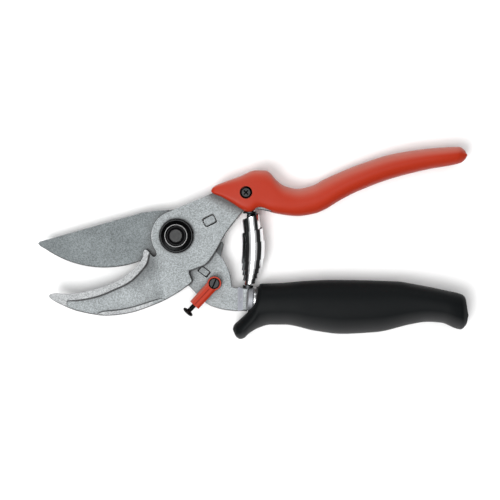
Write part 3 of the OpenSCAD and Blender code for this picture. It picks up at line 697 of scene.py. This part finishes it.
FINISH = {
    "forged_metal": blasted_metal("forged_metal", (0.23, 0.25, 0.256), (0.36, 0.38, 0.39), metallic=0.25,
                                  roughness=0.52, lip=GROUND_LIP, shade_spots=HOLLOW_SHADE_SPOTS, shadow_band=GRIP_FRONT_SHADOW,
                                  slant_highlight=NECK_SLOPE_HIGHLIGHT),
    "blade_steel": blasted_metal("blade_steel", (0.112, 0.126, 0.13), grey(0.17), metallic=0.55,
                                 roughness=0.5, shade_spots=BLADE_TAIL_SHADE),
    "stud_steel": blasted_metal("stud_steel", (0.175, 0.19, 0.195), (0.26, 0.27, 0.27), metallic=0.5,
                                roughness=0.48, grain_scale=2000.0, contrast=1.0),
    "red_plastic": moulded_plastic("red_plastic", (0.375, 0.026, 0.008), (0.43, 0.055, 0.026),
                                   roughness=0.42, gloss=0.12, texture_depth=0.12, sheen_side=PINK_TOP_SHEEN),
    "red_shadow": moulded_plastic("red_shadow", (0.16, 0.01, 0.004), (0.2, 0.02, 0.01), gloss=0.1,
                                  texture_depth=0.1),
    "black_grip": moulded_plastic("black_grip", (0.005, 0.006, 0.0065), (0.014, 0.015, 0.016), gloss=0.07,
                                  texture_depth=0.35, sheen_side=GREY_BOTTOM_SHEEN),
    "core_plastic": moulded_plastic("core_plastic", (0.03, 0.03, 0.032), grey(0.08)),
    "bush_plastic": moulded_plastic("bush_plastic", (0.62, 0.6, 0.52), (0.7, 0.68, 0.6), roughness=0.45),
    "black_steel": black_oxide("black_steel", (0.0028, 0.0029, 0.003), 0.26, rings=NUT_RINGS),
    "black_screw": slotted_screw("black_screw", "upper_grip_screw", (0.02, 0.0205, 0.021), 2.1,
                                 grey(0.0004), 0.3),
    "plunger_steel": black_oxide("plunger_steel", (0.006, 0.0057, 0.0054), 0.36, worn=(0.03, 0.029, 0.028)),
    "bolt_steel": turned_metal("bolt_steel", (0.033, 0.0335, 0.0335), 0.45),
    "catch_screw_steel": slotted_screw("catch_screw_steel", "catch_screw", (0.021, 0.0215, 0.022), 2.2,
                                       grey(0.0006), 0.36),
    "washer_steel": turned_metal("washer_steel", (0.5, 0.51, 0.52), 0.35),
    "seat_steel": turned_metal("seat_steel", (0.05, 0.052, 0.055), 0.4),
    "collar_metal": turned_metal("collar_metal", (0.3, 0.31, 0.33), 0.6, metallic=0.8),
    "bush_brass": turned_metal("bush_brass", (0.55, 0.4, 0.16), 0.35),
    "spring_chrome": polished_chrome("spring_chrome"),
}

OWN_FINISH = {"upper_grip_screw": "black_screw"}   # nodes that differ from their slot's other pieces


def paint_cad_nodes():
    """Every CAD node gets its slot's finish, or its own."""
    for name, piece in frame["nodes"].items():
        piece.data.materials.clear()
        piece.data.materials.append(FINISH[OWN_FINISH.get(name, SLOTS[name])])


# ---------------------------------------------------------------- the two grips

WELL_GAP = 0.55   # mm round the head of the upper grip's screw
CORE_GAP = 0.02   # mm between the revolving grip and its core

# Edges and thickness of the upper grip in mm: x from its front end, y in the frame
UPPER_HIGH = ((0, 22.6), (0.85, 24.2), (6.65, 26.9), (13.65, 29.5), (22.4, 32.8), (26.8, 32.8), (29.5, 31.3),
              (32.1, 28.2), (36.5, 25.1), (43, 23.7), (50.6, 25.3), (56, 28.2), (73.5, 35.7), (91.2, 41.2),
              (108.8, 43.8), (123.8, 44.7), (126.4, 43.2), (127.6, 40.8))
UPPER_LOW = ((0, 22), (0.85, 21.1), (4.85, 19.4), (10.15, 16.3), (15.45, 12.9), (18, 11.9), (19.8, 11.9),
             (21.5, 13.2), (24.2, 14.1), (26.8, 13.4), (29.5, 12.1), (34, 11), (43, 10), (51.5, 11.2),
             (56, 12.9), (64.7, 18.1), (73.5, 22.5), (91.2, 29.1), (108.8, 33.5), (124.7, 36.6),
             (126.9, 38.3), (127.6, 40))
UPPER_HALF = ((0, 0.86), (2, 0.94), (20, 1), (30, 0.96), (45, 0.88), (80, 0.93), (110, 0.9), (122, 0.78),
              (127.6, 0.42))
UPPER_BOX = ((0, 6), (24, 5), (36, 3), (50, 2.5), (127.6, 2.3))

# Edges and thickness of the revolving grip in mm: x from its guard, y from the spindle
ROLL_HIGH = ((0, -14.6), (0.3, -13.2), (3.2, -10.35), (8.5, -4.85), (11.3, 0.85), (12.5, 5.85), (13.9, 7.85),
             (23.2, 8.15), (36.4, 9.25), (49.6, 9.75), (80.5, 9.05), (93.7, 7.05), (106.9, 4.35),
             (114, 2.65), (115.7, 1.25), (116.4, -3.15), (116.8, -6.5))
ROLL_LOW = ((0, -15.2), (0.6, -16.9), (2, -19.05), (3.7, -19.85), (5.6, -19.25), (8, -17.05), (12.8, -14.25),
            (18.8, -12.65), (25.8, -12.65), (40.8, -15.65), (54, -17.25), (71.7, -16.35), (89.3, -12.35),
            (97.2, -11.25), (104, -11.7), (111.3, -14.55), (113.5, -15.05), (116.2, -12.85), (116.8, -9))
ROLL_HALF = ((0, 0.34), (2, 0.66), (6, 0.84), (14, 0.94), (45, 1), (80, 0.96), (106, 0.98), (113, 0.88),
             (116.8, 0.5))
ROLL_BOX = ((0, 2.25), (116.8, 2.25))


def grip(node, high, low, half, box, y0):
    """A grip skinned over rounded-box sections, closest together at its two ends and inside its CAD box."""
    corner_low, corner_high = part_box(node)
    length = (corner_high[0] - corner_low[0]) / MM
    thick = (corner_high[2] - corner_low[2]) / 2
    mid = (corner_high[2] + corner_low[2]) / 2
    scale = length / high[-1][0]

    def place(u, v):
        x = high[-1][0] * (1 - math.cos(math.pi * u)) / 2
        top, bottom = profile(high, x) + y0, profile(low, x) + y0
        power = 2 / profile(box, x)
        angle = TAU * v
        y = (top + bottom) / 2 + (top - bottom) / 2 * signed_power(math.cos(angle), power)
        z = mid + thick * profile(half, x) * signed_power(math.sin(angle), power)
        return Vector((corner_low[0] + x * scale * MM, min(max(y * MM, corner_low[1]), corner_high[1]), z))

    return wrapped_grid(140, 72, place)


def upper_grip():
    """The fixed red grip, with the well that its screw sits in."""
    piece = grip("upper_grip", UPPER_HIGH, UPPER_LOW, UPPER_HALF, UPPER_BOX, 0)
    low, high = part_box("upper_grip_screw")
    screw_r = (high[0] - low[0]) / 2
    well = Vector(((low[0] + high[0]) / 2, (low[1] + high[1]) / 2, top_of("counter_blade")))
    cut(piece, cylinder(screw_r + WELL_GAP * MM, well, well + 10 * MM * UP))
    smooth(piece, 40)
    finished(piece, "upper_grip_skin", "upper_half", FINISH["red_plastic"], "red_plastic", "upper_grip")


def roll_grip():
    """The revolving black grip, open from its front to the end of its core."""
    joint = joint_named("grip_roll")
    at, way = Vector(joint["pos_m"]), direction(joint)
    piece = grip("roll_grip", ROLL_HIGH, ROLL_LOW, ROLL_HALF, ROLL_BOX, at.y / MM)
    core_low, core_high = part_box("grip_core")
    core_r = (core_high[2] - core_low[2]) / 2
    cut(piece, cylinder(core_r + CORE_GAP * MM, at - 20 * MM * way, at + way * (core_high[0] - at.x)))
    smooth(piece, 40)
    finished(piece, "roll_grip_skin", "revolving_grip", FINISH["black_grip"], "black_grip", "roll_grip")


# ---------------------------------------------------------------- the return spring

# One point for each turn of the strip, from the top end to the bottom end:
# (turn, mm along the spring from its widest turn) and (turn, outer radius in mm)
COIL_REACH = ((-2.3, 15.0), (-2, 13.3), (-1, 6.2), (0, 0), (1, -4.7), (2, -7.3), (3, -9.8),
              (4, -12.4), (4.4, -13.2))
COIL_RADIUS = ((-2.3, 3.7), (-2, 4.0), (-1, 5.2), (0, 5.75), (1, 5.3), (2, 4.6), (3, 3.9),
               (4, 3.1), (4.4, 2.9))
WIDEST_TURN = 17.9  # mm below the spring's top
STRIP_WIDTH = 9.0
STRIP_THICK = 0.55
SPRING_BOW = 1.65   # mm that the spring's middle stands out towards the grips
SPRING_LEAN = 1.0   # mm that its top end stands out further than its bottom end


def main_spring():
    """A flat strip wound from a wide middle towards two narrow ends, bowed a little to one side."""
    low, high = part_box("main_spring")
    top, bottom = high[1], low[1]
    x_mid, _, z_mid = middle_of("main_spring")
    widest = top - WIDEST_TURN * MM
    first, last = COIL_REACH[0][0], COIL_REACH[-1][0]

    def place(u, v):
        turn = first + (last - first) * u
        radius = profile(COIL_RADIUS, turn)
        corner = v * 4
        side = min(corner, 1) if corner < 2 else max(3 - corner, 0)
        outward = 0 if corner < 1 else min(corner - 1, 1) if corner < 3 else 4 - corner
        y = widest + (profile(COIL_REACH, turn) + (side - 0.5) * STRIP_WIDTH) * MM
        y = min(max(y, bottom), top)
        rim = (radius - outward * STRIP_THICK) * MM
        along = (y - bottom) / (top - bottom)
        bow = (SPRING_BOW * math.sin(math.pi * along) + SPRING_LEAN * along) * MM
        angle = TAU * turn
        return Vector((x_mid + bow + rim * math.cos(angle), y, z_mid + rim * math.sin(angle)))

    piece = smooth(wrapped_grid(440, 4 * 3, place), 40)
    finished(piece, "spring_strip", "upper_half", FINISH["spring_chrome"], "spring_chrome", "main_spring")
    return piece, Vector((x_mid, top, z_mid)), Vector((x_mid, bottom, z_mid))


def bend_spring():
    """Builds the strip, then frees it from its body and bakes its place into its mesh."""
    piece, top, bottom = main_spring()
    piece.parent = None
    tuple(top)
    tuple(bottom)
    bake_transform(piece)


# The plunger's spring
WIRE_R = 0.22 * MM
WIRE_TURNS = 7
WIRE_SLACK = 0.1 * MM   # what the coil is shorter than its room


def plunger_coil():
    """The plunger's wire spring, in the place of its tube and pressed flatter by the plunger."""
    joint = joint_named("plunger_slide")
    way = direction(joint)
    side = way.cross(UP)
    low, high = (Vector(corner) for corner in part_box("plunger_spring"))
    middle, reach = (low + high) / 2, (high.z - low.z) / 2
    length = (high.x - low.x - 2 * reach * abs(side.x)) / abs(way.x)
    radius = reach - WIRE_R

    def place(u, v):
        angle = TAU * WIRE_TURNS * u
        out = side * math.cos(angle) + UP * math.sin(angle)
        along = (u - 0.5) * (length - 2 * WIRE_R - WIRE_SLACK)
        return (middle + way * (along + WIRE_R * math.sin(TAU * v))
                + out * (radius + WIRE_R * math.cos(TAU * v)))

    piece = smooth(wrapped_grid(WIRE_TURNS * 24, 8, place), 60)
    slot = SLOTS["plunger_spring"]
    finished(piece, "plunger_coil", "catch", FINISH[slot], slot, "plunger_spring")
    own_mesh(piece)


# ---------------------------------------------------------------- forged and machined pieces

SOFTENED = {
    # node: (width of the rounded edge in mm, steps, gap left round it in mm, body)
    "counter_blade": (0.45, 3, 0, "upper_half"),
    "lower_handle": (0.4, 3, 0, "lower_half"),
    "cutting_blade": (0.12, 2, 0, "lower_half"),
    "stop_stud": (0.3, 3, 0.4, "upper_half"),
    "guide_pad": (0.2, 2, 0.55, "lower_half"),
    "catch_lever": (0.9, 4, 0, "catch"),
}


def narrowed(piece, gap):
    """The piece drawn in by the same gap on each side of its outline, seen along Z."""
    corners = [piece.matrix_world @ Vector(corner) for corner in piece.bound_box]
    low = Vector([min(corner[i] for corner in corners) for i in range(3)])
    high = Vector([max(corner[i] for corner in corners) for i in range(3)])
    middle, size = (low + high) / 2, high - low
    factor = 1 - 2 * gap * MM / min(size.x, size.y)
    piece.scale = (factor, factor, 1)
    piece.location = Vector((middle.x, middle.y, 0)) * (1 - factor)
    return settle(piece)


def soften_forgings():
    """The forged, ground and cast pieces again, with their edges rounded."""
    for node, (width, steps, gap, body) in SOFTENED.items():
        piece = bevelled(merged_copy(node), width, steps)
        if gap:
            narrowed(piece, gap)
        slot = SLOTS[node]
        finished(piece, node + "_soft", body, FINISH[slot], slot, node)


MOULD_LINE = (3.6, 14.2)   # its two ends, mm from the catch's screw
MOULD_LINE_R = 0.22 * MM


def catch_mould_line():
    """The thin raised line that the mould leaves along the top of the catch's sleeve, painted dark red as
    shade.
    """
    way = direction(joint_named("plunger_slide"))
    eye = middle_of("catch_screw")
    eye.z = top_of("catch_lever")
    out = way if way.dot(eye - middle_of("catch_lever")) < 0 else -way
    start, end = (eye + out * reach * MM - 0.5 * MOULD_LINE_R * UP for reach in MOULD_LINE)
    piece = cylinder(MOULD_LINE_R, start, end, 12)
    finished(smooth(piece), "catch_mould_line", "catch", FINISH["red_shadow"], "red_plastic")


# ---------------------------------------------------------------- camera, light and floor

VIEW_MIDDLE = (36.5 * MM, -7 * MM)
VIEW_WIDTH = 0.25      # m across the picture, at the height VIEW_PLANE
VIEW_PLANE = 10.5 * MM
CAMERA_ABOVE = 0.6     # m above that height
LIGHTS_AIM = Vector((0.035, -0.005, 0))


def camera():
    """Straight down on the shears."""
    data = bpy.data.cameras.new("Camera")
    made = bpy.data.objects.new("Camera", data)
    bpy.context.scene.collection.objects.link(made)
    bpy.context.scene.camera = made
    data.sensor_width = 36
    data.lens = data.sensor_width * CAMERA_ABOVE / VIEW_WIDTH
    made.location = (*VIEW_MIDDLE, CAMERA_ABOVE + VIEW_PLANE)


def area_light(name, place, size, power):
    """A rectangular light that looks at the shears."""
    data = bpy.data.lights.new(name, "AREA")
    data.shape = "RECTANGLE"
    data.size, data.size_y = size
    data.energy = power
    made = bpy.data.objects.new(name, data)
    bpy.context.scene.collection.objects.link(made)
    made.location = place
    aim = LIGHTS_AIM - Vector(place)
    made.rotation_mode = "QUATERNION"
    made.rotation_quaternion = aim.to_track_quat("-Z", "Y")


def world():
    """Bright overhead and dark lower down, for dark bands in polished parts; the camera sees pale grey."""
    made = bpy.data.worlds.new("World")
    bpy.context.scene.world = made
    made.use_nodes = True
    tree = made.node_tree
    background = tree.nodes["Background"]
    _, _, height = split_xyz(tree, tree.nodes.new("ShaderNodeTexCoord").outputs["Generated"])
    sky = ramp(tree, height, (0.0, 0.5), (0.08, 0.03), (0.72, 0.04), (0.86, 1.0))
    seen = tree.nodes.new("ShaderNodeLightPath").outputs["Is Camera Ray"]
    tree.links.new(mixed(tree, seen, sky, grey(0.95)), background.inputs["Color"])
    background.inputs["Strength"].default_value = 0.6


def studio():
    """A white seamless floor under a broad overhead light, keyed from the lower left."""
    deselect()
    bpy.ops.mesh.primitive_plane_add(size=6, location=(0, 0, -0.02 * MM))
    floor = bpy.context.object
    floor.name = "floor"
    material, _, shader = new_material("floor_white", roughness=0.7)
    shader.inputs["Base Color"].default_value = (0.92, 0.92, 0.92, 1)
    floor.data.materials.append(material)
    area_light("key", (-0.24, -0.34, 0.9), (0.42, 0.42), 7.5)
    area_light("overhead", (0.035, 0.0, 1.0), (0.5, 0.4), 3.0)
    area_light("front", (0.05, -0.7, 0.45), (0.9, 0.25), 0.9)
    area_light("rim", (0.1, 0.75, 0.42), (0.9, 0.25), 2.5)
    world()
    bpy.context.scene.view_settings.view_transform = "Standard"


camera()
studio()
paint_cad_nodes()
soften_forgings()
catch_mould_line()
upper_grip()
roll_grip()
bend_spring()
plunger_coil()
